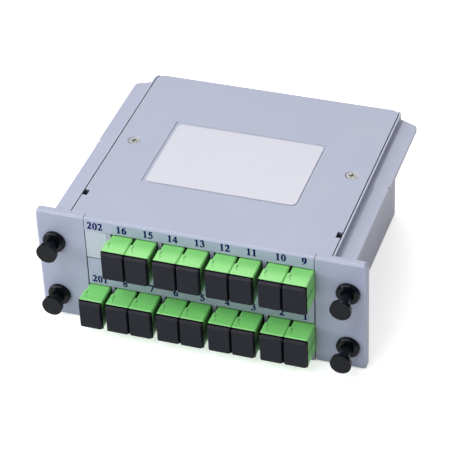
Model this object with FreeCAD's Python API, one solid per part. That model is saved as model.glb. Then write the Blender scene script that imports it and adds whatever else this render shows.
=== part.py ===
import FreeCAD, Part

import math
import os

# Rack-mount PLC fibre splitter cassette, two slots tall: a moulded tray with
# side wings and ears, a screwed cover with a front lip, a slotted adapter
# plate with angled-contact adapters and dust caps, four push-pull latches in
# the ears, and the splitter, inner plugs and coiled fibre inside.
#
# The model is built with y = 0 on the front face of the ears, z = 0 on the
# bottom and x = 0 on the middle, and moved in Y at export so that its origin
# is under the centre of the whole part.  All sizes are in millimetres.

V = FreeCAD.Vector

# ---- front panel: the two ears -------------------------------------------
PANEL_W = 130.0
PANEL_H = 49.1
PANEL_T = 3.0
PANEL_CORNER_R = 1.8
PANEL_BEVEL = 0.6
EAR_REACH = 14.8            # of each ear past the tray's side
EAR_LAP = 4.85              # of each ear in front of the tray

# ---- tray ----------------------------------------------------------------
BODY_D = 100.4
BODY_CORNER_R = 3.0
WALL_T = 2.0
FLOOR_T = 2.0

# ---- wings and rims along the tray's sides -------------------------------
WING_INSET = 5.8            # from the ear's side to the wing's
WING_T = 1.6
WING_DROP = 2.7             # from the cover's top to the wing's top
WING_STEP_Y = 52.0          # the rear length is higher and a little wider
WING_STEP_Z = 0.2
WING_STEP_X = 0.3
WING_RAMP = 0.9             # length of the slope up to the rear length
WING_FLARE = 5.0            # length over which the wing widens
WING_END_SETBACK = 0.6      # root of the slanted rear end, from the back
WING_END_SLANT = 4.6
WING_CORNER_R = 1.9
RIM_T = 0.75
RIM_TURN_DEG = 45.0         # how far the rim goes round each rear corner
COVE_R = 2.0

# ---- cover ---------------------------------------------------------------
COVER_STEP = 0.8            # of the cover past the tray's side
COVER_T = 2.2
COVER_CORNER_R = 3.1
SEAM = 0.4                  # cover to the rims, all along
LIP_T = 2.2
NOTCH_Y = 15.7
NOTCH_LEN = 3.6
NOTCH_DEPTH = 1.9
POCKET_DEPTH = 1.4          # hook pocket under each notch, below the cover's seat
TONGUE_T = 1.2              # locating tongue under the cover
TONGUE_H = 1.5
TONGUE_CLEAR = 0.2
RECESS_W = 62.4
RECESS_L = 41.8
RECESS_DEPTH = 0.25
RECESS_X = -1.2
RECESS_Y = 48.9
LABEL_W = 60.2
LABEL_L = 39.8
LABEL_T = 0.35
LABEL_X = -0.9
LABEL_Y = 48.5
LABEL_CORNER_R = 2.0

# ---- cover screws and their bosses ---------------------------------------
SCREW_INSET = 3.8           # from the tray's inner side
SCREW_Y = 53.2
SCREW_HEAD_R = 2.3
SCREW_HEAD_H = 1.2
SCREW_R = 1.2
SCREW_LEN = 9.0
SCREW_SUNK = 0.2            # head below the cover's top
SCREW_CLEAR = 0.2           # head and shank to the cover
SCREW_HOLE_CLEAR = 0.05     # shank to the boss
CROSS_W = 0.6
CROSS_LEN = 2.6
CROSS_DEPTH = 0.6
BOSS_W = 5.6

# ---- adapters: two rows, one lone column and four pairs of columns -------
ADAPTER_W = 8.5             # through the plate
ADAPTER_STEP_W = 0.75       # extra width of the nose, on its left
ADAPTER_H = 12.6
ADAPTER_OUT = 10.0
ADAPTER_NOSE_LEN = 6.3
ADAPTER_IN = 15.0           # rear end behind the panel's front face
ADAPTER_BEVEL = 0.45
ADAPTER_FIT = 0.25
FLANGE_T = 1.6
FLANGE_LEFT = 0.4
FLANGE_RIGHT = 0.08
FLANGE_RISE = 0.6           # flange beyond the adapter's foot
FLANGE_TOP = 0.05           # and beyond its top
PORT_W = 7.4
PORT_H = 9.2
KEY_W = 2.4
KEY_H = 0.9
SLEEVE_R = 2.0
SLEEVE_BORE_R = 1.3
SLEEVE_FRONT = 5.0
SMALL_ROUND_SIDES = 8
MARK_X = 1.05
MARK_W = 0.6
MARK_START = 4.3
MARK_LEN = 2.3
MARK_DEPTH = 0.3
PART_LINE_W = 0.4
PART_LINE_DEPTH = 0.25
PART_LINE_LEN = 8.2
COLUMN_MARGIN = 0.45        # from the left ear to the lone column
PAIR_OFFSET = 10.9          # from the lone column to the first pair
PAIR_PITCH = 20.45
COLUMN_PITCH = 9.35
LOWER_ROW_Z = 5.1
UPPER_ROW_MARGIN = 5.9      # from the panel's top to the upper row
LONE_PORT = 201

# ---- adapter plate and blank ---------------------------------------------
PLATE_GAP = 0.45            # to each ear
PLATE_T = 2.2
OPENING_LEFT = 0.65         # opening past the left adapter in it
OPENING_RIGHT = 0.45        # and past the right one
BLANK_FIT = 0.05            # blank to its opening, at the sides and on top
BLANK_CAP_T = 1.0
BLANK_BEVEL = 0.2
BLANK_IN = 6.0

# ---- port label strips ---------------------------------------------------
STRIP_T = 0.12
STRIP_INSET = 0.2           # from the plate's ends
STRIP_GAP = 0.25            # to the adapters' openings
STRIP_TOP_BAND = 1.1        # bare lip above the upper strip

# ---- dust caps -----------------------------------------------------------
CAP_W = 9.15
CAP_H = 12.0
CAP_DROP = 0.2              # middle of the cap below the adapter's
CAP_CORNER = 0.6
CAP_FOOT_CORNER = 0.3
CAP_LAND = 0.25
CAP_T = 1.35
CAP_SIDE_BEVEL = 0.5
CAP_TOP_BEVEL = 0.5
CAP_GAP = 0.3               # to the adapter's nose
CAP_FIT = 0.3               # plug to port, and bore to sleeve
CAP_PLUG_LEN = 7.6
CAP_WEB = 1.2
CAP_WALL = 1.0

# ---- latches -------------------------------------------------------------
LATCH_INSET = 7.05          # from the ear's side
LATCH_LOW_Z = 10.0
LATCH_FLANGE_R = 4.55
LATCH_FLANGE_T = 1.7
LATCH_BEVEL = 0.5
LATCH_SHANK_R = 3.1
LATCH_SHANK_LEN = 8.4
LATCH_SHANK_FIT = 0.15
LATCH_SPLIT_W = 1.0
LATCH_SPLIT_START = 5.0
STEM_R = 2.2
STEM_FIT = 0.3
STEM_LEN = 9.6
HEAD_R = 4.1
HEAD_T = 1.7
NECK_R = 3.0                # thicker length behind the head
NECK_LEN = 1.4
LEFT_HEAD_OUT = 8.5         # front of each head, as left by hand
RIGHT_HEAD_OUT = 11.0

# ---- inside --------------------------------------------------------------
INNER_FIT = 0.25            # inner plug to port
INNER_START = 2.6
INNER_END = 29.0
BOOT_R = 2.4
BOOT_TIP_R = 1.5
BOOT_LEN = 8.0
SPLITTER_L = 60.0
SPLITTER_W = 12.0
SPLITTER_H = 4.0
SPLITTER_BOOT_INSET = 0.3
SPLITTER_BACK = 3.0         # to the rear wall
SPLITTER_BOOT_L = 7.0
SPLITTER_BOOT_TAPER = 1.2
SADDLE_T = 1.2
SADDLE_W = 5.0
SADDLE_H = 5.5
SADDLE_FIT = 0.1
SADDLE_X = 18.0
COIL_R = 18.0
COIL_SECTION = 5.0
COIL_SIDES = 24
COIL_GAP = 1.9              # to the splitter
HORN_T = 1.6
HORN_W = 6.0
HORN_REACH = 4.0
HORN_FIT = 0.15
HORNS = 4

# ---- sizes and places that follow from them -------------------------------
BODY_W = PANEL_W - 2 * EAR_REACH
CENTRE_W = BODY_W - 2 * EAR_LAP    # clear width between the two ears
WING_W = PANEL_W - 2 * WING_INSET
COVER_W = BODY_W + 2 * COVER_STEP
PLATE_W = CENTRE_W - 2 * PLATE_GAP
STRIP_W = PLATE_W - 2 * STRIP_INSET
SEAT_Z = PANEL_H - COVER_T
WING_Z = PANEL_H - WING_DROP
RIM_IN_X = COVER_W / 2 + SEAM
RIM_OUT_X = RIM_IN_X + RIM_T
BODY_X = BODY_W / 2
INSIDE_X = BODY_X - WALL_T
CORNER_Y = BODY_D - COVER_CORNER_R
SCREW_X = INSIDE_X - SCREW_INSET
LATCH_X = PANEL_W / 2 - LATCH_INSET
UPPER_ROW_Z = PANEL_H - UPPER_ROW_MARGIN - ADAPTER_H
ROW_PITCH = UPPER_ROW_Z - LOWER_ROW_Z
LONE_COLUMN_X = COLUMN_MARGIN - CENTRE_W / 2
FIRST_PAIR_X = LONE_COLUMN_X + PAIR_OFFSET
PAIR_ROOM = CENTRE_W / 2 - FIRST_PAIR_X - COLUMN_PITCH - ADAPTER_W
PAIRS = 1 + int(PAIR_ROOM // PAIR_PITCH)
SPLITTER_Y = BODY_D - WALL_T - SPLITTER_BACK - SPLITTER_W / 2
COIL_Y = SPLITTER_Y - SPLITTER_W / 2 - COIL_GAP - COIL_R - COIL_SECTION / 2
LIP_Z = UPPER_ROW_Z + ADAPTER_H + ADAPTER_FIT
PLATE_H = LIP_Z - SEAM / 2
NOSE_W = ADAPTER_W + ADAPTER_STEP_W
NOSE_CENTRE_X = ADAPTER_W / 2 - ADAPTER_STEP_W / 2
FRONT_REACH = max(RIGHT_HEAD_OUT, LEFT_HEAD_OUT, ADAPTER_OUT + CAP_GAP + CAP_T)
ORIGIN_SHIFT = V(0, (FRONT_REACH - BODY_D) / 2, 0)


# ---- plain shapes --------------------------------------------------------
PAST = 1.0                  # how far a cut runs past the face it opens
SAME = 1e-3                 # closer than this is the same place


def block(x0, x1, y0, y1, z0, z1):
    return Part.makeBox(x1 - x0, y1 - y0, z1 - z0, V(x0, y0, z0))


def along_y(radius, y0, y1, x=0.0, z=0.0):
    return Part.makeCylinder(radius, y1 - y0, V(x, y0, z), V(0, 1, 0))


def along_z(radius, z0, z1, x, y):
    return Part.makeCylinder(radius, z1 - z0, V(x, y, z0), V(0, 0, 1))


def mirrored_pair(shape):
    return [shape, shape.mirror(V(0, 0, 0), V(1, 0, 0))]


def fuse(shapes):
    return shapes[0].multiFuse(shapes[1:]).removeSplitter()


def prism(points, vector):
    wire = Part.makePolygon(points + [points[0]])
    return Part.Face(wire).extrude(vector)


def round_edges(shape, radius, chosen):
    return shape.makeFillet(radius, [e for e in shape.Edges if chosen(e)])


def bevel_edges(shape, cut, chosen):
    return shape.makeChamfer(cut, [e for e in shape.Edges if chosen(e)])


def runs_along(edge, axis):
    size = edge.BoundBox
    spans = {"x": size.XLength, "y": size.YLength, "z": size.ZLength}
    across = [span for name, span in spans.items() if name != axis]
    return spans[axis] > SAME and max(across) < SAME


def cut_corners(x0, x1, z0, z1, y, top, foot):
    """Points of a rectangle on the plane y, its top and foot corners cut at 45 degrees."""
    return [V(x0 + foot, y, z0), V(x1 - foot, y, z0), V(x1, y, z0 + foot), V(x1, y, z1 - top),
            V(x1 - top, y, z1), V(x0 + top, y, z1), V(x0, y, z1 - top), V(x0, y, z0 + foot)]


def bar_along_y(x0, x1, y0, y1, z0, z1, cut):
    """A bar with its four long edges chamfered."""
    return prism(cut_corners(x0, x1, z0, z1, y0, cut, cut), V(0, y1 - y0, 0))


def taper(first, second):
    """A solid between two outlines whose sides are parallel."""
    loops = [first, second]
    for index in range(len(first)):
        loops.append([first[index - 1], first[index], second[index], second[index - 1]])
    faces = [Part.Face(Part.makePolygon(loop + [loop[0]])) for loop in loops]
    solid = Part.Solid(Part.Shell(faces))
    if solid.Volume < 0:
        solid.reverse()
    return solid


def even_sides(radius, y, x, z):
    """Points of a regular outline on the plane y, for small round parts that repeat."""
    turns = [math.tau * (side + 0.5) / SMALL_ROUND_SIDES for side in range(SMALL_ROUND_SIDES)]
    return [V(x + radius * math.cos(turn), y, z + radius * math.sin(turn)) for turn in turns]


# ---- tray ----------------------------------------------------------------
def tub():
    """Floor and walls; the front is open for the adapter plate."""
    outside = block(-BODY_X, BODY_X, PLATE_T, BODY_D, 0, SEAT_Z)
    outside = round_edges(outside, BODY_CORNER_R, is_rear_corner)
    inside = block(-INSIDE_X, INSIDE_X, PLATE_T, BODY_D - WALL_T, FLOOR_T, SEAT_Z)
    inside = round_edges(inside, BODY_CORNER_R - WALL_T, is_rear_corner)
    mouth = block(-INSIDE_X, INSIDE_X, 0, PLATE_T + WALL_T, FLOOR_T, SEAT_Z)
    return outside.cut(inside).cut(mouth)


def is_rear_corner(edge):
    return runs_along(edge, "z") and edge.CenterOfMass.y > BODY_D / 2


def rim_section(x0):
    """Shelf for the cover, rim, and cove down to the wing, seen from the front."""
    foot_z = WING_Z - WING_T
    toe_x = RIM_OUT_X + COVE_R
    centre = V(toe_x, 0, WING_Z + COVE_R)
    swing = COVE_R * math.sqrt(0.5)
    cove_top = V(RIM_OUT_X, 0, WING_Z + COVE_R)
    cove_mid = centre + V(-swing, 0, -swing)
    cove_foot = V(toe_x, 0, WING_Z)
    straight = [cove_foot, V(toe_x, 0, foot_z), V(x0, 0, foot_z), V(x0, 0, SEAT_Z),
                V(RIM_IN_X, 0, SEAT_Z), V(RIM_IN_X, 0, PANEL_H), V(RIM_OUT_X, 0, PANEL_H)]
    if WING_Z + COVE_R < PANEL_H - SAME:
        straight.append(cove_top)
    edges = Part.makePolygon(straight).Edges
    edges.append(Part.Arc(straight[-1], cove_mid, cove_foot).toShape())
    return Part.Face(Part.Wire(edges))


def right_rim():
    section = rim_section(BODY_X - WALL_T / 2)
    section.translate(V(0, PANEL_T / 2, 0))
    return section.extrude(V(0, CORNER_Y - PANEL_T / 2, 0))


def right_rim_end():
    """The rim carried round the cover's rear corner."""
    pivot_x = COVER_W / 2 - COVER_CORNER_R
    inner_x = BODY_X - WALL_T / 2
    foot_z = WING_Z - WING_T
    section = [V(inner_x, CORNER_Y, foot_z), V(inner_x, CORNER_Y, SEAT_Z),
               V(RIM_IN_X, CORNER_Y, SEAT_Z), V(RIM_IN_X, CORNER_Y, PANEL_H),
               V(RIM_OUT_X, CORNER_Y, PANEL_H), V(RIM_OUT_X, CORNER_Y, foot_z)]
    face = Part.Face(Part.makePolygon(section + [section[0]]))
    return face.revolve(V(pivot_x, CORNER_Y, 0), V(0, 0, 1), RIM_TURN_DEG)


def right_wing():
    """Guide rail: a flat flange with a slanted, rounded rear end."""
    root_x = BODY_X - WALL_T / 2
    tip_x = WING_W / 2
    end_y = BODY_D - WING_END_SETBACK
    wide_x = tip_x + WING_STEP_X
    low_z = WING_Z - WING_T
    outline = [V(root_x, PANEL_T / 2, low_z), V(tip_x, PANEL_T / 2, low_z),
               V(tip_x, WING_STEP_Y - WING_FLARE, low_z), V(wide_x, WING_STEP_Y, low_z),
               V(root_x, WING_STEP_Y, low_z)]
    front = prism(outline, V(0, 0, WING_T))
    slope = [V(root_x, WING_STEP_Y - WING_RAMP, WING_Z), V(root_x, WING_STEP_Y, WING_Z),
             V(root_x, WING_STEP_Y, WING_Z + WING_STEP_Z)]
    ramp = prism(slope, V(tip_x - root_x, 0, 0))
    outline = [V(root_x, WING_STEP_Y, low_z), V(wide_x, WING_STEP_Y, low_z),
               V(wide_x, end_y - WING_END_SLANT, low_z), V(root_x, end_y, low_z)]
    rear = prism(outline, V(0, 0, WING_T + WING_STEP_Z))
    rear = round_edges(rear, WING_CORNER_R, lambda edge: runs_along(edge, "z")
                       and edge.CenterOfMass.x > tip_x
                       and edge.CenterOfMass.y > BODY_D / 2)
    return fuse([front, ramp, rear])


def right_ear():
    ear = block(CENTRE_W / 2, PANEL_W / 2, 0, PANEL_T, 0, PANEL_H)
    ear = round_edges(ear, PANEL_CORNER_R, lambda edge: runs_along(edge, "y")
                      and edge.CenterOfMass.x > CENTRE_W / 2 + SAME)
    ear = bevel_edges(ear, PANEL_BEVEL, lambda edge: edge.BoundBox.YMax < SAME
                      and edge.CenterOfMass.x > CENTRE_W / 2 + SAME)
    for z in latch_heights():
        hole_r = LATCH_SHANK_R + LATCH_SHANK_FIT
        ear = ear.cut(along_y(hole_r, -PAST, PANEL_T + PAST, LATCH_X, z))
    return ear


def screw_boss():
    return block(SCREW_X - BOSS_W / 2, INSIDE_X + WALL_T / 2, SCREW_Y - BOSS_W / 2,
                 SCREW_Y + BOSS_W / 2, FLOOR_T / 2, SEAT_Z)


def screw_hole():
    return along_z(SCREW_R + SCREW_HOLE_CLEAR, SEAT_Z - SCREW_LEN, SEAT_Z + PAST, SCREW_X,
                   SCREW_Y)


def saddle(x):
    """Two posts on the floor that hold the splitter between them."""
    front_y = SPLITTER_Y - SPLITTER_W / 2 - SADDLE_FIT
    rear_y = SPLITTER_Y + SPLITTER_W / 2 + SADDLE_FIT
    low = FLOOR_T / 2
    front = block(x - SADDLE_W / 2, x + SADDLE_W / 2, front_y - SADDLE_T, front_y,
                  low, FLOOR_T + SADDLE_H)
    rear = block(x - SADDLE_W / 2, x + SADDLE_W / 2, rear_y, rear_y + SADDLE_T,
                 low, FLOOR_T + SADDLE_H)
    return [front, rear]


def horn(angle):
    """A post inside the fibre coil with a finger over it."""
    clear_r = (COIL_R - COIL_SECTION / 2) * math.cos(math.pi / COIL_SIDES) - HORN_FIT
    inner = math.sqrt(clear_r ** 2 - (HORN_W / 2) ** 2)
    post_top = FLOOR_T + COIL_SECTION + HORN_FIT
    post = block(inner - HORN_T, inner, -HORN_W / 2, HORN_W / 2, FLOOR_T / 2, post_top)
    finger = block(inner - HORN_T, inner + HORN_REACH, -HORN_W / 2, HORN_W / 2,
                   post_top, post_top + HORN_T)
    shape = post.fuse(finger)
    shape.rotate(V(0, 0, 0), V(0, 0, 1), angle)
    shape.translate(V(0, COIL_Y, 0))
    return shape


def base_tray():
    pieces = [tub()]
    for side in (right_rim(), right_rim_end(), right_wing(), right_ear(), screw_boss()):
        pieces += mirrored_pair(side)
    for x in (-SADDLE_X, SADDLE_X):
        pieces += saddle(x)
    for index in range(HORNS):
        pieces.append(horn(45 + index * 360 / HORNS))
    tray = fuse(pieces)
    pocket = snap_notch(RIM_IN_X, SEAT_Z - POCKET_DEPTH, SEAT_Z + PAST)
    for cut in mirrored_pair(screw_hole()) + mirrored_pair(pocket):
        tray = tray.cut(cut)
    return tray


# ---- cover ---------------------------------------------------------------
def cover_plate():
    start_y = PANEL_T
    half = COVER_W / 2
    plate = block(-half, half, start_y, BODY_D, SEAT_Z, PANEL_H)
    plate = round_edges(plate, COVER_CORNER_R, is_rear_corner)
    lip_half = CENTRE_W / 2 - SEAM / 2
    lip = block(-lip_half, lip_half, 0, LIP_T, LIP_Z, PANEL_H)
    lip = bevel_edges(lip, PANEL_BEVEL, lambda edge: runs_along(edge, "x")
                      and edge.CenterOfMass.y < SAME
                      and edge.CenterOfMass.z > PANEL_H - SAME)
    bridge = block(-lip_half, lip_half, LIP_T / 2, start_y + LIP_T / 2, SEAT_Z, PANEL_H)
    return fuse([plate, lip, bridge])


def right_tongue():
    outer_x = INSIDE_X - TONGUE_CLEAR
    return block(outer_x - TONGUE_T, outer_x, ADAPTER_IN, SCREW_Y - BOSS_W / 2 - TONGUE_T,
                 SEAT_Z - TONGUE_H, SEAT_Z + COVER_T / 2)


def screw_head(clearance, top_z):
    """Countersunk head, or with a clearance the seat for it."""
    depth = top_z - (PANEL_H - SCREW_SUNK - SCREW_HEAD_H)
    slope = (SCREW_HEAD_R - SCREW_R) / SCREW_HEAD_H
    foot_r = SCREW_R + clearance
    return Part.makeCone(foot_r, foot_r + slope * depth, depth,
                         V(SCREW_X, SCREW_Y, top_z - depth))


def screw_recess():
    head = screw_head(SCREW_CLEAR, PANEL_H)
    shank = along_z(SCREW_R + SCREW_CLEAR, SEAT_Z - PAST, PANEL_H, SCREW_X, SCREW_Y)
    return head.fuse(shank)


def snap_notch(x1, z0, z1):
    return block(COVER_W / 2 - NOTCH_DEPTH, x1, NOTCH_Y - NOTCH_LEN / 2,
                 NOTCH_Y + NOTCH_LEN / 2, z0, z1)


def top_cover():
    cover = fuse([cover_plate()] + mirrored_pair(right_tongue()))
    notch = snap_notch(COVER_W / 2 + PAST, SEAT_Z - PAST, PANEL_H + PAST)
    for cut in mirrored_pair(screw_recess()) + mirrored_pair(notch):
        cover = cover.cut(cut)
    return cover.cut(block(RECESS_X - RECESS_W / 2, RECESS_X + RECESS_W / 2,
                           RECESS_Y - RECESS_L / 2, RECESS_Y + RECESS_L / 2,
                           PANEL_H - RECESS_DEPTH, PANEL_H + PAST))


def cover_label():
    z = PANEL_H - RECESS_DEPTH
    sheet = block(LABEL_X - LABEL_W / 2, LABEL_X + LABEL_W / 2, LABEL_Y - LABEL_L / 2,
                  LABEL_Y + LABEL_L / 2, z, z + LABEL_T)
    return round_edges(sheet, LABEL_CORNER_R, lambda edge: runs_along(edge, "z"))


def cover_screw():
    head_z = PANEL_H - SCREW_SUNK
    head = screw_head(0, head_z)
    tip_z = SEAT_Z - SCREW_LEN + SCREW_R
    shank = along_z(SCREW_R, tip_z, head_z - SCREW_HEAD_H, SCREW_X, SCREW_Y)
    arm = block(-CROSS_LEN / 2, CROSS_LEN / 2, -CROSS_W / 2, CROSS_W / 2, 0,
                CROSS_DEPTH + PAST)
    other = arm.copy()
    other.rotate(V(0, 0, 0), V(0, 0, 1), 90)
    cross = arm.fuse(other)
    cross.translate(V(SCREW_X, SCREW_Y, head_z - CROSS_DEPTH))
    return fuse([head, shank]).cut(cross)


def cover_screws():
    return Part.makeCompound(mirrored_pair(cover_screw()))


# ---- where the ports are -------------------------------------------------
def columns():
    """Left side of each column of a full row, in order from the left."""
    places = [LONE_COLUMN_X]
    for pair in range(PAIRS):
        first = FIRST_PAIR_X + pair * PAIR_PITCH
        places += [first, first + COLUMN_PITCH]
    return places


def ports():
    """Port number to (column x, row z), numbered from the right in each row."""
    lone, *paired = columns()
    places = {LONE_PORT: (lone, LOWER_ROW_Z)}
    per_row = len(paired)
    for index, x in enumerate(reversed(paired)):
        places[index + 1] = (x, LOWER_ROW_Z)
        places[index + 1 + per_row] = (x, UPPER_ROW_Z)
    return places


def blank_place():
    return columns()[0], UPPER_ROW_Z


def latch_heights():
    return (LATCH_LOW_Z, LATCH_LOW_Z + ROW_PITCH)


def latch_places():
    names = {}
    for side, x, out in (("left", -LATCH_X, LEFT_HEAD_OUT), ("right", LATCH_X, RIGHT_HEAD_OUT)):
        for level, z in zip(("lower", "upper"), latch_heights()):
            names[side + "_" + level] = (x, z, out)
    return names


# ---- adapter plate, blank and label strips -------------------------------
def plate_opening(x0, x1, z):
    """Cut through the plate for the adapters that stand at height z between x0 and x1."""
    return block(x0, x1, -PAST, PLATE_T + PAST, z - ADAPTER_FIT, z + ADAPTER_H + ADAPTER_FIT)


def adapter_plate():
    """One opening for each pair of adapters, and one each for the lone adapter and the blank."""
    lone, *paired = columns()
    spans = [(lone, lone, LOWER_ROW_Z)]
    for first, last in zip(paired[::2], paired[1::2]):
        spans += [(first, last, LOWER_ROW_Z), (first, last, UPPER_ROW_Z)]
    plate = block(-PLATE_W / 2, PLATE_W / 2, 0, PLATE_T, 0, PLATE_H)
    for first, last, z in spans:
        plate = plate.cut(plate_opening(first - OPENING_LEFT,
                                        last + ADAPTER_W + OPENING_RIGHT, z))
    x, z = blank_place()
    return plate.cut(plate_opening(x - ADAPTER_FIT, x + ADAPTER_W + ADAPTER_FIT, z))


def port_blank():
    """Snap-in filler for the opening that has no adapter."""
    x, z = blank_place()
    spread = ADAPTER_FIT - BLANK_FIT
    front = block(x - spread, x + ADAPTER_W + spread, 0, PLATE_T / 2, z,
                  z + ADAPTER_H + spread)
    front = bevel_edges(front, BLANK_BEVEL, lambda edge: edge.BoundBox.YMax < SAME)
    core = block(x + WALL_T / 2, x + ADAPTER_W - WALL_T / 2, PLATE_T / 4, BLANK_IN,
                 z + WALL_T / 2, z + ADAPTER_H - WALL_T / 2)
    neck = block(x, x + ADAPTER_W, PLATE_T / 4, PLATE_T + BLANK_CAP_T / 2, z, z + ADAPTER_H)
    flange = block(x - FLANGE_LEFT, x + ADAPTER_W + FLANGE_RIGHT, PLATE_T,
                   PLATE_T + BLANK_CAP_T, z - FLANGE_RISE, z + ADAPTER_H)
    return fuse([front, core, neck, flange])


def upper_port_label():
    top_z = PANEL_H - STRIP_TOP_BAND
    return block(-STRIP_W / 2, STRIP_W / 2, -STRIP_T, 0, LIP_Z + STRIP_GAP, top_z)


def lower_port_label():
    low_z = LOWER_ROW_Z + ADAPTER_H + ADAPTER_FIT + STRIP_GAP
    top_z = UPPER_ROW_Z - ADAPTER_FIT - STRIP_GAP
    return block(-STRIP_W / 2, STRIP_W / 2, -STRIP_T, 0, low_z, top_z)


# ---- adapter -------------------------------------------------------------
def adapter_shell():
    """Outside of an adapter; x = 0 is its left side in the plate, z = 0 its foot."""
    step_y = -(ADAPTER_OUT - ADAPTER_NOSE_LEN)
    waist = bar_along_y(0, ADAPTER_W, step_y - PLATE_T, ADAPTER_IN, 0, ADAPTER_H, ADAPTER_BEVEL)
    nose = bar_along_y(-ADAPTER_STEP_W, ADAPTER_W, -ADAPTER_OUT, step_y, 0, ADAPTER_H,
                       ADAPTER_BEVEL)
    nose = nose.makeChamfer(ADAPTER_BEVEL, [e for e in nose.Edges
                                            if e.BoundBox.YMax < -ADAPTER_OUT + SAME])
    flange = block(-FLANGE_LEFT, ADAPTER_W + FLANGE_RIGHT, PLATE_T, PLATE_T + FLANGE_T,
                   -FLANGE_RISE, ADAPTER_H + FLANGE_TOP)
    return fuse([waist, nose, flange])


def port_cavity(y0, y1):
    mid_z = ADAPTER_H / 2
    return block(NOSE_CENTRE_X - PORT_W / 2, NOSE_CENTRE_X + PORT_W / 2, y0, y1,
                 mid_z - PORT_H / 2, mid_z + PORT_H / 2)


def keyway(y0, y1):
    mid_z = ADAPTER_H / 2
    return block(NOSE_CENTRE_X - KEY_W / 2, NOSE_CENTRE_X + KEY_W / 2, y0, y1,
                 mid_z, mid_z + PORT_H / 2 + KEY_H)


def adapter():
    """Both ports, the sleeve for the ferrules, and the marks on the nose."""
    mid_z = ADAPTER_H / 2
    body = adapter_shell()
    body = body.cut(port_cavity(-ADAPTER_OUT - PAST, 0)).cut(keyway(-ADAPTER_OUT - PAST, 0))
    body = body.cut(port_cavity(PLATE_T, ADAPTER_IN + PAST))
    sleeve = even_sides(SLEEVE_R, -SLEEVE_FRONT, NOSE_CENTRE_X, mid_z)
    bore = even_sides(SLEEVE_BORE_R, -SLEEVE_FRONT - PAST, NOSE_CENTRE_X, mid_z)
    body = body.fuse(prism(sleeve, V(0, SLEEVE_FRONT + PLATE_T / 2, 0)))
    body = body.cut(prism(bore, V(0, PAST + SLEEVE_FRONT + PLATE_T + PAST, 0)))
    body = body.cut(block(MARK_X - MARK_W / 2, MARK_X + MARK_W / 2, -MARK_START - MARK_LEN,
                          -MARK_START, ADAPTER_H - MARK_DEPTH, ADAPTER_H + PAST))
    line_z = mid_z - PART_LINE_W / 2
    body = body.cut(block(ADAPTER_W - PART_LINE_DEPTH, ADAPTER_W + PAST, -PART_LINE_LEN, 0,
                          line_z, line_z + PART_LINE_W))
    return body.removeSplitter()


# ---- dust cap ------------------------------------------------------------
def cap_head():
    """A flat head with a narrow land and a bevelled front."""
    x0 = NOSE_CENTRE_X - CAP_W / 2
    x1 = NOSE_CENTRE_X + CAP_W / 2
    z0 = (ADAPTER_H - CAP_H) / 2 - CAP_DROP
    z1 = z0 + CAP_H
    back_y = -ADAPTER_OUT - CAP_GAP
    land_y = back_y - CAP_LAND
    rim = cut_corners(x0, x1, z0, z1, land_y, CAP_CORNER, CAP_FOOT_CORNER)
    face = cut_corners(x0 + CAP_SIDE_BEVEL, x1 - CAP_SIDE_BEVEL, z0 + CAP_TOP_BEVEL,
                       z1 - CAP_TOP_BEVEL, back_y - CAP_T, CAP_CORNER, CAP_FOOT_CORNER)
    return prism(rim, V(0, CAP_LAND, 0)).fuse(taper(rim, face))


def dust_cap():
    mid_z = ADAPTER_H / 2
    back_y = -ADAPTER_OUT - CAP_GAP
    half_w = PORT_W / 2 - CAP_FIT
    half_h = PORT_H / 2 - CAP_FIT
    end_y = back_y + CAP_PLUG_LEN
    plug = block(NOSE_CENTRE_X - half_w, NOSE_CENTRE_X + half_w, back_y - CAP_LAND / 2, end_y,
                 mid_z - half_h, mid_z + half_h)
    hollow = block(NOSE_CENTRE_X - half_w + CAP_WALL, NOSE_CENTRE_X + half_w - CAP_WALL,
                   back_y + CAP_WEB, end_y + PAST, mid_z - half_h + CAP_WALL,
                   mid_z + half_h - CAP_WALL)
    return fuse([cap_head(), plug]).cut(hollow)


# ---- latches -------------------------------------------------------------
def revolve_about_y(points):
    """Turn a closed outline of (radius, y) points about the Y axis."""
    outline = [V(r, y, 0) for r, y in points]
    face = Part.Face(Part.makePolygon(outline + [outline[0]]))
    return face.revolve(V(0, 0, 0), V(0, 1, 0), 360)


def latch_grommet():
    """Bevelled flange and split shank, with a through bore for the plunger."""
    bore = STEM_R + STEM_FIT
    face_r = LATCH_FLANGE_R - LATCH_BEVEL
    grommet = revolve_about_y([
        (bore, -LATCH_FLANGE_T), (face_r, -LATCH_FLANGE_T),
        (LATCH_FLANGE_R, LATCH_BEVEL - LATCH_FLANGE_T), (LATCH_FLANGE_R, 0), (LATCH_SHANK_R, 0),
        (LATCH_SHANK_R, LATCH_SHANK_LEN), (bore, LATCH_SHANK_LEN)])
    reach = LATCH_SHANK_R + PAST
    return grommet.cut(block(-reach, reach, LATCH_SPLIT_START, LATCH_SHANK_LEN + PAST,
                             -LATCH_SPLIT_W / 2, LATCH_SPLIT_W / 2))


def latch_plunger(out):
    """Round head, neck and stem; out is how far the head stands off."""
    rear_y = HEAD_T - out
    neck_y = rear_y + NECK_LEN
    tip_y = rear_y + STEM_LEN
    return revolve_about_y([
        (0, -out), (HEAD_R, -out), (HEAD_R, rear_y), (NECK_R, rear_y), (NECK_R, neck_y),
        (STEM_R, neck_y), (STEM_R, tip_y), (0, tip_y)])


# ---- inside --------------------------------------------------------------
def inner_plug():
    """Plug seated in an adapter's rear port, with its boot."""
    mid_z = ADAPTER_H / 2
    half_w = PORT_W / 2 - INNER_FIT
    half_h = PORT_H / 2 - INNER_FIT
    body = block(NOSE_CENTRE_X - half_w, NOSE_CENTRE_X + half_w, INNER_START, INNER_END,
                 mid_z - half_h, mid_z + half_h)
    boot = taper(even_sides(BOOT_R, INNER_END, NOSE_CENTRE_X, mid_z),
                 even_sides(BOOT_TIP_R, INNER_END + BOOT_LEN, NOSE_CENTRE_X, mid_z))
    return body.fuse(boot)


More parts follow.
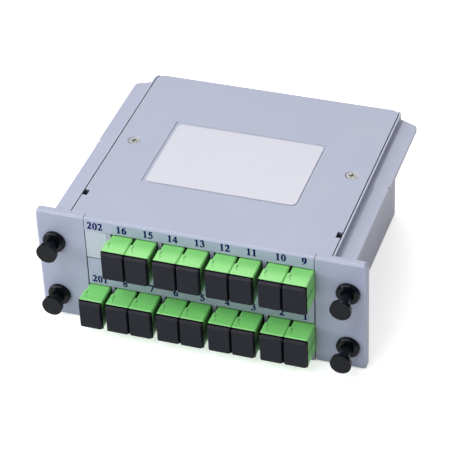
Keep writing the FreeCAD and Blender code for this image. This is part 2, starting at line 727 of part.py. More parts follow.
def inner_plugs(row_z):
    plugs = []
    for x, z in ports().values():
        if z == row_z:
            plug = inner_plug()
            plug.translate(V(x, 0, z))
            plugs.append(plug)
    return Part.makeCompound(plugs)


def splitter_module():
    """Flat metal case of the splitter chip, lying across the tray."""
    return block(-SPLITTER_L / 2, SPLITTER_L / 2, SPLITTER_Y - SPLITTER_W / 2,
                 SPLITTER_Y + SPLITTER_W / 2, FLOOR_T, FLOOR_T + SPLITTER_H)


def splitter_boot():
    """Tapered rubber boot at the right end of the splitter."""
    rings = []
    for x, inset in ((SPLITTER_L / 2, SPLITTER_BOOT_INSET),
                     (SPLITTER_L / 2 + SPLITTER_BOOT_L, SPLITTER_BOOT_TAPER)):
        y0 = SPLITTER_Y - SPLITTER_W / 2 + inset
        y1 = SPLITTER_Y + SPLITTER_W / 2 - inset
        z0 = FLOOR_T + inset
        z1 = FLOOR_T + SPLITTER_H - inset
        rings.append([V(x, y0, z0), V(x, y1, z0), V(x, y1, z1), V(x, y0, z1)])
    return taper(*rings)


def fibre_coil():
    """The wound fibre as one closed ring lying on the floor."""
    rings = []
    for radius in (COIL_R + COIL_SECTION / 2, COIL_R - COIL_SECTION / 2):
        turns = [math.tau * side / COIL_SIDES for side in range(COIL_SIDES)]
        outline = [V(radius * math.cos(turn), COIL_Y + radius * math.sin(turn), FLOOR_T)
                   for turn in turns]
        rings.append(prism(outline, V(0, 0, COIL_SECTION)))
    return rings[0].cut(rings[1])


# ---- export --------------------------------------------------------------
def nodes():
    parts = {
        "base_tray": base_tray(),
        "top_cover": top_cover(),
        "cover_label": cover_label(),
        "cover_screws": cover_screws(),
        "adapter_plate": adapter_plate(),
        "port_blank": port_blank(),
        "upper_port_label": upper_port_label(),
        "lower_port_label": lower_port_label(),
        "inner_plugs_lower": inner_plugs(LOWER_ROW_Z),
        "inner_plugs_upper": inner_plugs(UPPER_ROW_Z),
        "splitter_module": splitter_module(),
        "splitter_boots": Part.makeCompound(mirrored_pair(splitter_boot())),
        "fibre_coil": fibre_coil(),
    }
    for number, (x, z) in ports().items():
        for name, shape in (("adapter", adapter()), ("dust_cap", dust_cap())):
            shape.translate(V(x, 0, z))
            parts["%s_%02d" % (name, number)] = shape
    for name, (x, z, out) in latch_places().items():
        for piece, shape in (("grommet", latch_grommet()), ("plunger", latch_plunger(out))):
            shape.translate(V(x, 0, z))
            parts["%s_%s" % (piece, name)] = shape
    return parts


os.makedirs("parts", exist_ok=True)
for node, solid in nodes().items():
    solid.translate(ORIGIN_SHIFT)
    solid.exportStep("parts/%s.step" % node)
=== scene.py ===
import math
import re

import bmesh
import bpy
from mathutils import Matrix, Vector


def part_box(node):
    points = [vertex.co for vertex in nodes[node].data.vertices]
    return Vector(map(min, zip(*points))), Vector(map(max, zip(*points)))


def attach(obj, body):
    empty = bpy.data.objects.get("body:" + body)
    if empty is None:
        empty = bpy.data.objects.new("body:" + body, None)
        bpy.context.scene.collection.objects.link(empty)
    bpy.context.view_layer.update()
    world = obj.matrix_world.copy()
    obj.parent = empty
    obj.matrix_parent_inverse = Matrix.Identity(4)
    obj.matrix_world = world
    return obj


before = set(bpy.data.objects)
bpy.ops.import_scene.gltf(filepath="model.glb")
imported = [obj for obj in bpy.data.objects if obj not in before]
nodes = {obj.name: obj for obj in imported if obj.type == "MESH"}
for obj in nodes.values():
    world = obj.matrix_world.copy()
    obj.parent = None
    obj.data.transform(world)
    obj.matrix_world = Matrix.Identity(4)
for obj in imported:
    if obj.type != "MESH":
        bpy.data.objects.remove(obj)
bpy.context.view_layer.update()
scene = bpy.context.scene

# ---- viewpoint and studio -------------------------------------------------
# A long lens looks down on the cassette from the front, a little to its right.
# Five square soft boxes stand round it, the strongest low on the left, and
# the table and the room are plain white.
VIEW_POINT = Vector((0.22059, -0.62112, 0.51884))
VIEW_AZIMUTH = math.radians(19.95)
VIEW_ELEVATION = math.radians(36.96)
VIEW_ROLL = math.radians(-2.59)

away = Vector((math.sin(VIEW_AZIMUTH) * math.cos(VIEW_ELEVATION),
               -math.cos(VIEW_AZIMUTH) * math.cos(VIEW_ELEVATION),
               math.sin(VIEW_ELEVATION)))
level_right = Vector((math.cos(VIEW_AZIMUTH), math.sin(VIEW_AZIMUTH), 0))
level_up = away.cross(level_right)
view_right = math.cos(VIEW_ROLL) * level_right + math.sin(VIEW_ROLL) * level_up
view_up = away.cross(view_right)

camera_data = bpy.data.cameras.new("studio_camera")
camera_data.sensor_width = 36.0
camera_data.lens = 168.17
camera_data.clip_start = 0.05
camera_data.clip_end = 20.0
camera = bpy.data.objects.new("studio_camera", camera_data)
view_turn = Matrix((view_right, view_up, away)).transposed()
camera.matrix_world = Matrix.Translation(VIEW_POINT) @ view_turn.to_4x4()
scene.collection.objects.link(camera)
scene.camera = camera
scene.view_settings.view_transform = "Standard"

LAMP_AIM = Vector((0, 0, 0.02))
LAMP_SIZE = 0.8
LAMPS = (
    ("left_soft_box", (-1.14, -0.66, 0.63), 12.2, (0.97, 1.0, 1.0)),
    ("front_soft_box", (-0.32, -0.88, 1.13), 8.2, (0.86, 0.91, 1.0)),
    ("rear_soft_box", (-0.29, 0.89, 1.13), 8.2, (1.0, 0.97, 0.925)),
    ("top_soft_box", (-0.19, -0.23, 1.44), 3.2, (1.0, 0.98, 0.96)),
    ("right_soft_box", (0.81, -0.47, 1.13), 3.4, (1.0, 0.96, 0.90)),
)
for name, place, watts, colour in LAMPS:
    lamp = bpy.data.lights.new(name, "AREA")
    lamp.shape = "SQUARE"
    lamp.size = LAMP_SIZE
    lamp.energy = watts
    lamp.color = colour
    holder = bpy.data.objects.new(name, lamp)
    facing = (Vector(place) - LAMP_AIM).to_track_quat("Z", "Y")
    holder.matrix_world = Matrix.Translation(place) @ facing.to_matrix().to_4x4()
    scene.collection.objects.link(holder)

world = bpy.data.worlds.new("white_room")
world.use_nodes = True
scene.world = world
room = world.node_tree
room_light = room.nodes["Background"]
room_light.inputs["Color"].default_value = (1.0, 0.96, 0.94, 1)
room_light.inputs["Strength"].default_value = 0.09
room_seen = room.nodes.new("ShaderNodeBackground")
room_seen.inputs["Color"].default_value = (1, 1, 1, 1)
room_rays = room.nodes.new("ShaderNodeLightPath")
room_mix = room.nodes.new("ShaderNodeMixShader")
room.links.new(room_rays.outputs["Is Camera Ray"], room_mix.inputs["Fac"])
room.links.new(room_light.outputs["Background"], room_mix.inputs[1])
room.links.new(room_seen.outputs["Background"], room_mix.inputs[2])
room.links.new(room_mix.outputs["Shader"], room.nodes["World Output"].inputs["Surface"])

TABLE_HALF = 4
TABLE_DROP = 0.0002         # table below the tray's underside
table_corners = [(x * TABLE_HALF, y * TABLE_HALF, 0) for x, y in ((-1, -1), (1, -1), (1, 1), (-1, 1))]
table_mesh = bpy.data.meshes.new("table_top")
table_mesh.from_pydata(table_corners, [], [(0, 1, 2, 3)])
table_top = bpy.data.objects.new("table_top", table_mesh)
table_top.location.z = -TABLE_DROP
scene.collection.objects.link(table_top)
table_finish = bpy.data.materials.new("white_table")
table_finish.use_nodes = True
table_tree = table_finish.node_tree
table_shader = table_tree.nodes["Principled BSDF"]
table_shader.inputs["Base Color"].default_value = (0.8, 0.8, 0.8, 1)
table_shader.inputs["Roughness"].default_value = 0.9
table_shader.inputs["Specular IOR Level"].default_value = 0.0
table_glow = table_tree.nodes.new("ShaderNodeEmission")
table_glow.inputs["Color"].default_value = (1, 1, 1, 1)
table_glow.inputs["Strength"].default_value = 0.60
table_rays = table_tree.nodes.new("ShaderNodeLightPath")
table_seen = table_tree.nodes.new("ShaderNodeMath")
table_seen.operation = "MAXIMUM"
table_sum = table_tree.nodes.new("ShaderNodeAddShader")
table_mix = table_tree.nodes.new("ShaderNodeMixShader")
table_tree.links.new(table_rays.outputs["Is Camera Ray"], table_seen.inputs[0])
table_tree.links.new(table_rays.outputs["Is Glossy Ray"], table_seen.inputs[1])
table_tree.links.new(table_seen.outputs["Value"], table_mix.inputs["Fac"])
table_tree.links.new(table_shader.outputs["BSDF"], table_mix.inputs[1])
table_tree.links.new(table_shader.outputs["BSDF"], table_sum.inputs[0])
table_tree.links.new(table_glow.outputs["Emission"], table_sum.inputs[1])
table_tree.links.new(table_sum.outputs["Shader"], table_mix.inputs[2])
table_tree.links.new(table_mix.outputs["Shader"],
                     table_tree.nodes["Material Output"].inputs["Surface"])
table_mesh.materials.append(table_finish)


# ---- housing: tray, cover and adapter plate -------------------------------
# Injection-moulded ABS in a cool light grey, with a fine satin spark-eroded
# grain from the mould.  The tray carries ears, rims and wings in one piece;
# the cover drops inside the rims, and the adapter plate closes the front.
HOUSING_GREY = (0.398, 0.425, 0.560)
# Painted highlight: the colour the housing's edges are lightened to
HOUSING_EDGE_HIGHLIGHT = (0.74, 0.77, 0.88)
HOUSING_ROUGHNESS = 0.42
HOUSING_GRAIN_M = 0.00035
HOUSING_EDGE_M = 0.0004

CLOUDS_PER_M = 38.0         # soft patches of colour and polish
RELIEF_STRENGTH = 0.35
EDGE_HIGHLIGHT_FROM = 0.995         # turn of the surface at which the painted edge highlight starts
EDGE_HIGHLIGHT_FULL = 0.90
# Painted shade: where little open air is around a point, in crevices, seams and gaps between parts,
# its colour is darkened
PAINTED_SHADE_SHUT = 0.12         # open air at which a crevice is darkest
PAINTED_SHADE_SHARE = 0.06        # its colour there, as a share
UPWARD_HIGHLIGHT_FROM = 0.1             # upward slope at which the painted highlight starts
UPWARD_HIGHLIGHT_FULL = 0.5


def noise(tree, place, per_m, detail):
    """A noise texture fixed to the object."""
    node = tree.nodes.new("ShaderNodeTexNoise")
    node.inputs["Scale"].default_value = per_m
    node.inputs["Detail"].default_value = detail
    tree.links.new(place.outputs["Object"], node.inputs["Vector"])
    return node.outputs["Fac"]


def ranged(tree, value, low, high, to_low=0.0, to_high=1.0):
    """The value mapped from low and high to to_low and to_high, and held between them."""
    node = tree.nodes.new("ShaderNodeMapRange")
    node.inputs["From Min"].default_value = low
    node.inputs["From Max"].default_value = high
    node.inputs["To Min"].default_value = to_low
    node.inputs["To Max"].default_value = to_high
    tree.links.new(value, node.inputs["Value"])
    return node.outputs["Result"]


def mixed(tree, share, first, second):
    """A colour between first and second, each a colour or the output of a node."""
    node = tree.nodes.new("ShaderNodeMix")
    node.data_type = "RGBA"
    for side, colour in (("A", first), ("B", second)):
        if isinstance(colour, bpy.types.NodeSocket):
            tree.links.new(colour, node.inputs[side])
        else:
            node.inputs[side].default_value = (*colour, 1)
    tree.links.new(share, node.inputs["Factor"])
    return node.outputs["Result"]


def plastic(name, colour, roughness, grain_m, grain_depth, tint=0.03, edge_m=0.0,
            edge_highlight_colour=None, shine=0.5, painted_shade_reach_m=0.0, painted_shade_open=0.50, upward_highlight=None):
    """A moulded finish: cloudy and grained, with soft edges, painted highlights on edges and upward
    faces, and painted shade in crevices.
    """
    finish = bpy.data.materials.new(name)
    finish.use_nodes = True
    tree = finish.node_tree
    shader = tree.nodes["Principled BSDF"]
    shader.inputs["Specular IOR Level"].default_value = shine
    place = tree.nodes.new("ShaderNodeTexCoord")
    cloud = noise(tree, place, CLOUDS_PER_M, 3.0)
    paint = mixed(tree, cloud, [c * (1 - tint) for c in colour],
                  [min(1, c * (1 + tint)) for c in colour])
    tree.links.new(ranged(tree, cloud, 0.3, 0.7, roughness - 0.04, roughness + 0.05),
                   shader.inputs["Roughness"])

    relief = tree.nodes.new("ShaderNodeBump")
    relief.inputs["Strength"].default_value = RELIEF_STRENGTH
    relief.inputs["Distance"].default_value = grain_depth
    tree.links.new(noise(tree, place, 1.0 / grain_m, 2.0), relief.inputs["Height"])
    tree.links.new(relief.outputs["Normal"], shader.inputs["Normal"])
    surface = tree.nodes.new("ShaderNodeNewGeometry")
    if edge_m:
        edge = tree.nodes.new("ShaderNodeBevel")
        edge.samples = 4
        edge.inputs["Radius"].default_value = edge_m
        tree.links.new(edge.outputs["Normal"], relief.inputs["Normal"])
    # Painted highlight: near edges, where the rounded normal turns from the face, the colour is made
    # lighter
    if edge_m and edge_highlight_colour:
        turn = tree.nodes.new("ShaderNodeVectorMath")
        turn.operation = "DOT_PRODUCT"
        tree.links.new(edge.outputs["Normal"], turn.inputs[0])
        tree.links.new(surface.outputs["Normal"], turn.inputs[1])
        edge_highlight_share = ranged(tree, turn.outputs["Value"], EDGE_HIGHLIGHT_FROM, EDGE_HIGHLIGHT_FULL)
        paint = mixed(tree, edge_highlight_share, paint, edge_highlight_colour)
    # Painted highlight: faces turned upwards are coloured lighter
    if upward_highlight:
        facing = tree.nodes.new("ShaderNodeSeparateXYZ")
        tree.links.new(surface.outputs["Normal"], facing.inputs["Vector"])
        cover = ranged(tree, facing.outputs["Z"], UPWARD_HIGHLIGHT_FROM, UPWARD_HIGHLIGHT_FULL)
        paint = mixed(tree, cover, paint, upward_highlight)
    # Painted shade: the colour is darkened towards a share of itself where ambient occlusion finds
    # little open air
    if painted_shade_reach_m:
        air = tree.nodes.new("ShaderNodeAmbientOcclusion")
        air.samples = 8
        air.inputs["Distance"].default_value = painted_shade_reach_m
        depth = ranged(tree, air.outputs["AO"], PAINTED_SHADE_SHUT, painted_shade_open)
        paint = mixed(tree, depth, [c * PAINTED_SHADE_SHARE for c in colour], paint)
    tree.links.new(paint, shader.inputs["Base Color"])
    return finish


def dress(names, finish):
    """Give CAD nodes a finish."""
    for name in names:
        slots = nodes[name].data.materials
        slots.clear()
        slots.append(finish)


# Painted shade darkens the housing's seams, notches and openings, and painted highlights lighten its
# edges.
housing_finish = plastic("grey_abs", HOUSING_GREY, HOUSING_ROUGHNESS, HOUSING_GRAIN_M,
                         0.00002, tint=0.015, edge_m=HOUSING_EDGE_M,
                         edge_highlight_colour=HOUSING_EDGE_HIGHLIGHT, painted_shade_reach_m=0.004, painted_shade_open=0.62)
dress(["base_tray", "top_cover", "adapter_plate"], housing_finish)


# ---- cover label ----------------------------------------------------------
# A blank rating label of white laminated paper, glued in a shallow recess of
# the cover.  Its die-cut corners are round.
label_finish = plastic("white_laminate", (0.610, 0.615, 0.695), 0.34, 0.0006, 0.000008,
                       tint=0.012, edge_m=0.0001)
dress(["cover_label"], label_finish)


# ---- cover screws ---------------------------------------------------------
# Two small cross-head thread-forming screws, nickel-plated steel, sunk in
# the cover.
SCREW_STEEL = (0.40, 0.41, 0.42)
SCRATCH_SHADE = 0.86        # colour in a scratch, as a share


def metal(name, colour, roughness, brushed_m):
    """A turned metal finish with fine scratches."""
    finish = bpy.data.materials.new(name)
    finish.use_nodes = True
    tree = finish.node_tree
    shader = tree.nodes["Principled BSDF"]
    shader.inputs["Metallic"].default_value = 1.0
    scratch = noise(tree, tree.nodes.new("ShaderNodeTexCoord"), 1.0 / brushed_m, 4.0)
    tree.links.new(mixed(tree, scratch, [c * SCRATCH_SHADE for c in colour], colour),
                   shader.inputs["Base Color"])
    tree.links.new(ranged(tree, scratch, 0.0, 1.0, roughness - 0.06, roughness + 0.08),
                   shader.inputs["Roughness"])
    return finish


screw_finish = metal("nickel_plate", SCREW_STEEL, 0.50, 0.0004)
dress(["cover_screws"], screw_finish)


# ---- port label strips and blank ------------------------------------------
# Two tinted polyester strips stuck on the plate, one above each row of
# adapters, and a plain blank in the position that has no adapter.
STRIP_TINT = (0.418, 0.455, 0.596)
strip_finish = plastic("tinted_polyester", STRIP_TINT, 0.36, 0.0005, 0.000008, tint=0.02)
dress(["upper_port_label", "lower_port_label"], strip_finish)
blank_finish = plastic("pale_blank", (0.510, 0.545, 0.635), 0.40, 0.0004, 0.00001, tint=0.015,
                       edge_m=0.0001)
dress(["port_blank"], blank_finish)


# ---- port numbers ---------------------------------------------------------
# Bold serif numerals screen-printed in navy on the two strips.  Each digit is
# drawn on a grid 1000 high, cut as a thin film of ink.
INK_NAVY = (0.0006, 0.0035, 0.098)
DIGIT_HEIGHT = 0.00305
DIGIT_STEP = 0.00215
DIGIT_BOLD = 0.032          # stroke thickened by this on each side, in heights
MITRE_LEAST = 0.25          # sharpest corner that is still mitred
KEPT_GAP = 0.9              # points nearer the old outline than this share are dropped
SAME_POINT = 1e-6
INK_FILM = 0.00003
DIGITS = {
    "1": "M100 0L550 0L550 40C450 45 420 60 420 130L420 1000L385 1000L95 862L95 828"
         "C150 850 238 868 238 780L238 130C238 60 200 45 100 40Z",
    "2": "M20 0L560 0L625 262L585 262C560 200 530 178 470 178L195 178C335 320 572 500 572 735"
         "C572 892 460 1012 302 1012C150 1012 62 900 38 742L80 725C105 800 160 858 235 858"
         "C330 858 388 790 388 700C388 520 230 300 20 32Z",
    "3": "M45 790C80 930 180 1012 320 1012C460 1012 545 930 545 815C545 720 490 655 420 605"
         "C530 560 602 470 602 340C602 130 440 -15 210 -15C90 -15 30 20 30 85"
         "C30 135 65 165 115 165C190 165 230 65 320 65C400 65 455 140 455 250"
         "C455 400 350 480 190 480L190 515C320 540 400 620 400 740C400 830 350 885 270 885"
         "C190 885 130 840 85 770Z",
    "4": "M350 0L505 0L505 215L610 215L610 360L505 360L505 1000L405 1000L25 330L25 215"
         "L350 215ZM350 360L350 770L105 360Z",
    "5": "M190 1000L560 1000L520 850L235 850L210 745C400 720 592 590 592 350"
         "C592 140 430 -15 205 -15C95 -15 25 25 25 90C25 140 60 170 110 170"
         "C190 170 225 70 310 70C400 70 450 150 450 260C450 430 300 540 90 560Z",
    "6": "M590 1010L585 975C380 920 270 780 240 610C280 640 325 655 380 655"
         "C520 655 615 530 615 345C615 130 490 -15 320 -15C140 -15 30 140 30 390"
         "C30 720 240 980 590 1010ZM325 570C260 570 225 520 225 400C225 180 260 45 330 45"
         "C395 45 425 130 425 300C425 480 395 570 325 570Z",
    "7": "M90 1000L610 1000L610 960L290 -10L165 -10L425 835L190 835C120 835 95 800 60 730"
         "L25 740Z",
    "8": "M320 1012C470 1012 585 920 585 790C585 690 530 620 440 565C550 490 605 400 605 275"
         "C605 105 490 -15 320 -15C150 -15 40 90 40 240C40 350 100 425 205 480"
         "C110 550 60 630 60 745C60 905 170 1012 320 1012Z"
         "M335 955C270 955 225 900 225 820C225 720 290 660 395 610C430 660 450 715 450 785"
         "C450 890 405 955 335 955ZM250 440C200 385 180 330 180 250C180 130 240 45 330 45"
         "C410 45 460 100 460 185C460 300 380 370 250 440Z",
    "0": "M325 1012C500 1012 615 800 615 498C615 196 500 -15 325 -15C150 -15 35 196 35 498"
         "C35 800 150 1012 325 1012ZM325 955C250 955 212 790 212 498C212 206 250 42 325 42"
         "C400 42 438 206 438 498C438 790 400 955 325 955Z",
}
DIGIT_CURVE_STEPS = 6
SIX_WIDTH = 0.645           # a nine is a six turned round in this box
SIX_HEIGHT = 0.997


def gap_to(point, start, end):
    """Distance from a point to the straight line from start to end."""
    along = end - start
    share = (point - start).dot(along) / along.dot(along)
    return (point - start - along * min(1, max(0, share))).length


def spread(outline, by):
    """The outline moved outwards, or inwards where by is negative."""
    points = [Vector(p) for p in outline]
    if (points[0] - points[-1]).length < SAME_POINT:
        points.pop()
    sides = [(points[i - 1], points[i]) for i in range(len(points))]
    area = sum(start.cross(end) for start, end in sides)
    side = by if area > 0 else -by
    moved = []
    for i, (start, corner) in enumerate(sides):
        before = (corner - start).normalized()
        after = (points[(i + 1) % len(points)] - corner).normalized()
        out = Vector((before.y + after.y, -before.x - after.x))
        inner = before.cross(after) * side < 0
        mitre = max(MITRE_LEAST, out.length / 2) if inner else 1
        moved.append(corner + out.normalized() * side / mitre)
    least = KEPT_GAP * abs(by)
    return [tuple(p) for p in moved if min(gap_to(p, *ends) for ends in sides) > least]


def digit_outlines(digit):
    """Closed outlines of a digit as lists of (across, up), in heights."""
    turned = digit == "9"
    outlines = []
    for command, numbers in re.findall(r"([MLCZ])([-\d ]*)", DIGITS["6" if turned else digit]):
        values = [int(n) / 1000 for n in numbers.split()]
        points = list(zip(values[0::2], values[1::2]))
        if command == "M":
            outlines.append(points)
        elif command == "L":
            outlines[-1] += points
        elif command == "C":
            start, pull, push, end = (Vector(p) for p in (outlines[-1][-1], *points))
            for step in range(1, DIGIT_CURVE_STEPS + 1):
                t = step / DIGIT_CURVE_STEPS
                at = ((1 - t) ** 3 * start + 3 * t * (1 - t) ** 2 * pull
                      + 3 * t * t * (1 - t) * push + t ** 3 * end)
                outlines[-1].append((at.x, at.y))
    if turned:
        outlines = [[(SIX_WIDTH - x, SIX_HEIGHT - y) for x, y in line] for line in outlines]
    return [spread(line, -DIGIT_BOLD if place else DIGIT_BOLD)
            for place, line in enumerate(outlines)]


def number_curve(text, height):
    """A flat filled curve of the number, its middle at the origin."""
    curve = bpy.data.curves.new("number_" + text, "CURVE")
    curve.dimensions = "2D"
    curve.fill_mode = "BOTH"
    curve.extrude = INK_FILM / 2
    width = DIGIT_STEP * len(text)
    for place, digit in enumerate(text):
        for outline in digit_outlines(digit):
            spline = curve.splines.new("POLY")
            spline.points.add(len(outline) - 1)
            for point, (x, y) in zip(spline.points, outline):
                point.co = (x * height + place * DIGIT_STEP - width / 2,
                            (y - 0.5) * height, 0, 1)
            spline.use_cyclic_u = True
    return curve


# Middle of each number: across, and up from the underside.
NUMBERS = {
    "202": (-40.7, 46.0), "16": (-30.0, 46.2), "15": (-19.4, 46.35), "14": (-9.65, 46.35),
    "13": (1.0, 46.6), "12": (10.8, 46.6), "11": (21.2, 46.65), "10": (32.4, 46.75),
    "9": (41.4, 46.8),
    "201": (-40.3, 20.8), "8": (-30.1, 20.8), "7": (-19.3, 20.8), "6": (-9.65, 20.8),
    "5": (1.0, 20.8), "4": (10.9, 20.8), "3": (21.2, 20.8), "2": (32.3, 20.8),
    "1": (41.5, 20.8),
}
ink_finish = plastic("navy_ink", INK_NAVY, 0.45, 0.0003, 0.000004, tint=0.06, shine=0.05)
strip_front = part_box("upper_port_label")[0].y
printed = bmesh.new()
for text, (across_mm, up_mm) in NUMBERS.items():
    draft = bpy.data.objects.new("draft_" + text, number_curve(text, DIGIT_HEIGHT))
    scene.collection.objects.link(draft)
    bpy.context.view_layer.update()
    film = bpy.data.meshes.new_from_object(
        draft.evaluated_get(bpy.context.evaluated_depsgraph_get()))
    spot = Vector((across_mm / 1000, strip_front - INK_FILM / 2, up_mm / 1000))
    film.transform(Matrix.Translation(spot) @ Matrix.Rotation(math.pi / 2, 4, "X"))
    printed.from_mesh(film)
    bpy.data.objects.remove(draft)
bmesh.ops.remove_doubles(printed, verts=printed.verts, dist=1e-7)
bmesh.ops.recalc_face_normals(printed, faces=printed.faces)
numbers_mesh = bpy.data.meshes.new("port_numbers")
printed.to_mesh(numbers_mesh)
printed.free()
numbers_mesh.materials.append(ink_finish)
port_numbers = bpy.data.objects.new("port_numbers", numbers_mesh)
scene.collection.objects.link(port_numbers)
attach(port_numbers, "housing")


# ---- adapters -------------------------------------------------------------
# Seventeen square-port adapters moulded in bright green glass-filled nylon,
# the colour code for angled contacts.  Each snaps into the plate, with a wider
# nose in front that carries a sleeve for the two ferrules.
ADAPTER_GREEN = (0.235, 0.700, 0.180)
# Painted highlight: the colour the adapters' edges are lightened to
ADAPTER_EDGE_HIGHLIGHT = (0.50, 0.90, 0.42)
adapter_names = sorted(name for name in nodes if name.startswith("adapter_")
                       and name != "adapter_plate")
# Painted shade darkens the gaps between the adapters, and painted highlights lighten their edges.
adapter_finish = plastic("green_nylon", ADAPTER_GREEN, 0.42, 0.0004, 0.000015, tint=0.05,
                         edge_m=0.00028, edge_highlight_colour=ADAPTER_EDGE_HIGHLIGHT, shine=0.75,
                         painted_shade_reach_m=0.005)
dress(adapter_names, adapter_finish)


# ---- marks on the adapters ------------------------------------------------
# A small dimple on each adapter's top shows which way up it goes, and its mould's
# halves meet in a groove along its right side.  The shade in both is painted as thin dark films.
FLANGE_TOP = 0.00005        # the flange behind the plate stands above the nose,
FLANGE_RIGHT = 0.00008      # past its right side
FLANGE_FOOT = 0.0006        # and below its foot
DIMPLE_SHADE_ACROSS = 0.0022         # from the adapter's left side in the plate
DIMPLE_SHADE_BACK = 0.0024           # from the nose's front
DIMPLE_SHADE_LENGTH = 0.0007
DIMPLE_SHADE_WIDTH = 0.00035
GROOVE_SHADE_BACK = 0.0038          # middle of the painted groove shade, from the nose's front
GROOVE_SHADE_UP = 0.0063            # from the adapter's foot
GROOVE_SHADE_LENGTH = 0.0070
GROOVE_SHADE_WIDTH = 0.00045
MARK_FILM = 0.00003

mark_tree = bpy.data.node_groups.new("adapter_marks", "GeometryNodeTree")
mark_tree.interface.new_socket("Geometry", in_out="INPUT", socket_type="NodeSocketGeometry")
for label in ("Across", "Back", "Up"):
    mark_tree.interface.new_socket(label, in_out="INPUT", socket_type="NodeSocketFloat")
mark_tree.interface.new_socket("Finish", in_out="INPUT", socket_type="NodeSocketMaterial")
mark_tree.interface.new_socket("Geometry", in_out="OUTPUT", socket_type="NodeSocketGeometry")
mark_in = mark_tree.nodes.new("NodeGroupInput")
mark_out = mark_tree.nodes.new("NodeGroupOutput")
mark_size = mark_tree.nodes.new("ShaderNodeCombineXYZ")
mark_block = mark_tree.nodes.new("GeometryNodeMeshCube")
mark_place = mark_tree.nodes.new("GeometryNodeInstanceOnPoints")
mark_real = mark_tree.nodes.new("GeometryNodeRealizeInstances")
mark_paint = mark_tree.nodes.new("GeometryNodeSetMaterial")
for label, axis in (("Across", "X"), ("Back", "Y"), ("Up", "Z")):
    mark_tree.links.new(mark_in.outputs[label], mark_size.inputs[axis])
mark_tree.links.new(mark_size.outputs["Vector"], mark_block.inputs["Size"])
mark_tree.links.new(mark_in.outputs["Geometry"], mark_place.inputs["Points"])
mark_tree.links.new(mark_block.outputs["Mesh"], mark_place.inputs["Instance"])
mark_tree.links.new(mark_place.outputs["Instances"], mark_real.inputs["Geometry"])
mark_tree.links.new(mark_real.outputs["Geometry"], mark_paint.inputs["Geometry"])
mark_tree.links.new(mark_in.outputs["Finish"], mark_paint.inputs["Material"])
mark_tree.links.new(mark_paint.outputs["Geometry"], mark_out.inputs["Geometry"])


def add_marks(name, points, size, finish):
    """The same small block at each of the points, riding on the housing."""
    mesh = bpy.data.meshes.new(name)
    mesh.from_pydata(points, [], [])
    marks = bpy.data.objects.new(name, mesh)
    scene.collection.objects.link(marks)
    maker = marks.modifiers.new(name, "NODES")
    maker.node_group = mark_tree
    sockets = {item.name: item.identifier for item in mark_tree.interface.items_tree
               if item.in_out == "INPUT"}
    for label, length in zip(("Across", "Back", "Up"), size):
        maker[sockets[label]] = length
    maker[sockets["Finish"]] = finish
    bpy.context.view_layer.update()
    made = bpy.data.meshes.new_from_object(
        marks.evaluated_get(bpy.context.evaluated_depsgraph_get()))
    marks.modifiers.remove(maker)
    marks.data = made
    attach(marks, "housing")


dimple_shade_points = []
groove_shade_points = []
for name in adapter_names:
    low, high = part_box(name)
    dimple_shade_points.append((low.x + DIMPLE_SHADE_ACROSS, low.y + DIMPLE_SHADE_BACK,
                       high.z - FLANGE_TOP + MARK_FILM / 2))
    groove_shade_points.append((high.x - FLANGE_RIGHT + MARK_FILM / 2, low.y + GROOVE_SHADE_BACK,
                        low.z + FLANGE_FOOT + GROOVE_SHADE_UP))
add_marks("dimple_shades", dimple_shade_points, (DIMPLE_SHADE_WIDTH, DIMPLE_SHADE_LENGTH, MARK_FILM),
          plastic("painted_dimple_shade", (0.075, 0.300, 0.060), 0.45, 0.0004, 0.000015, tint=0.08))
add_marks("parting_line_shades", groove_shade_points, (MARK_FILM, GROOVE_SHADE_LENGTH, GROOVE_SHADE_WIDTH),
          plastic("painted_groove_shade", (0.012, 0.050, 0.010), 0.6, 0.0004, 0.000015, tint=0.08))


# ---- dust caps ------------------------------------------------------------
# Soft black elastomer caps, each moulded in one piece, that plug the ports.
# The top bevels of their thin heads are painted lighter, a painted highlight.
CAP_BLACK = (0.0050, 0.0071, 0.0130)
# Painted highlight: the colour the caps' edges are lightened to
CAP_EDGE_HIGHLIGHT = (0.030, 0.026, 0.033)
# Painted highlight: the colour of the caps' upward faces
CAP_UPWARD_HIGHLIGHT = (0.030, 0.027, 0.037)
cap_names = sorted(name for name in nodes if name.startswith("dust_cap_"))
cap_finish = plastic("black_elastomer", CAP_BLACK, 0.50, 0.0003, 0.00003, tint=0.12,
                     edge_m=0.0002, edge_highlight_colour=CAP_EDGE_HIGHLIGHT, shine=0.18, upward_highlight=CAP_UPWARD_HIGHLIGHT)
dress(cap_names, cap_finish)


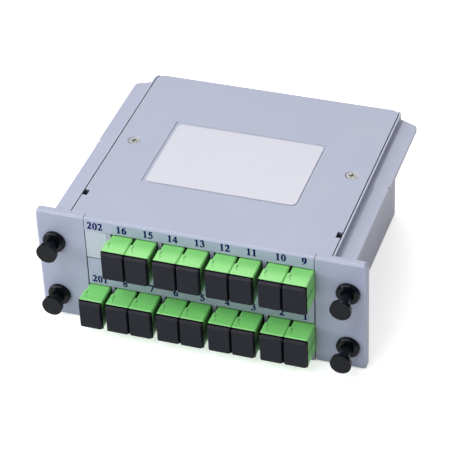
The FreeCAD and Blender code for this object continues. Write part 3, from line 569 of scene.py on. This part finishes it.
# ---- painted gap shade behind the caps ------------------------------------
# A thin black sheet behind each cap's head, against the adapter's nose, is
# painted shade: it stands for the dark gap between cap and nose, and goes with the cap.
GAP_SHADE_LEFT = 0.00003         # inside the nose's left side
GAP_SHADE_RIGHT = 0.0001         # past the nose's right side
GAP_SHADE_DROP = 0.0001          # below the nose's top
GAP_SHADE_BACK = 0.00004         # to the nose's front
GAP_SHADE_THICK = 0.00022
gap_shade_finish = plastic("black_seal", (0.001, 0.001, 0.0015), 0.7, 0.0003, 0.00003, tint=0.1,
                      shine=0.02)
for name in cap_names:
    low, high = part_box(name.replace("dust_cap", "adapter"))
    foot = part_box(name)[0].z
    near = Vector((low.x + GAP_SHADE_LEFT, low.y - GAP_SHADE_BACK - GAP_SHADE_THICK, foot))
    far = Vector((high.x - FLANGE_RIGHT + GAP_SHADE_RIGHT, low.y - GAP_SHADE_BACK,
                  high.z - FLANGE_TOP - GAP_SHADE_DROP))
    form = bmesh.new()
    place = Matrix.Translation((near + far) / 2) @ Matrix.Diagonal((*(far - near), 1))
    bmesh.ops.create_cube(form, size=1, matrix=place)
    gap_shade_mesh = bpy.data.meshes.new(name + "_seal")
    form.to_mesh(gap_shade_mesh)
    form.free()
    gap_shade_mesh.materials.append(gap_shade_finish)
    gap_shade_sheet = bpy.data.objects.new(name + "_seal", gap_shade_mesh)
    scene.collection.objects.link(gap_shade_sheet)
    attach(gap_shade_sheet, name.replace("dust_cap", "cap"))


# ---- latches --------------------------------------------------------------
# Push-pull rivets in polished black nylon: a split grommet pressed into the
# ear, and a plunger that spreads it when it is pushed home.
LATCH_BLACK = (0.004, 0.005, 0.008)
latch_names = sorted(name for name in nodes if name.startswith(("grommet_", "plunger_")))
latch_finish = plastic("black_nylon", LATCH_BLACK, 0.18, 0.0005, 0.000006, tint=0.1, edge_m=0.00025,
                       shine=0.15)
dress(latch_names, latch_finish)


# ---- inside ---------------------------------------------------------------
# The splitter chip in its bare aluminium case with rubber boots, the plugs
# in the adapters' rear ports, and the wound fibre on the tray's floor.
dress(["inner_plugs_lower", "inner_plugs_upper"], adapter_finish)
dress(["splitter_module"], metal("bare_aluminium", (0.80, 0.81, 0.82), 0.36, 0.0008))
dress(["splitter_boots"], plastic("boot_rubber", (0.018, 0.018, 0.018), 0.6, 0.0004, 0.00003,
                                  tint=0.1))
dress(["fibre_coil"], plastic("fibre_jacket", (0.80, 0.78, 0.66), 0.4, 0.0009, 0.0001,
                              tint=0.08))
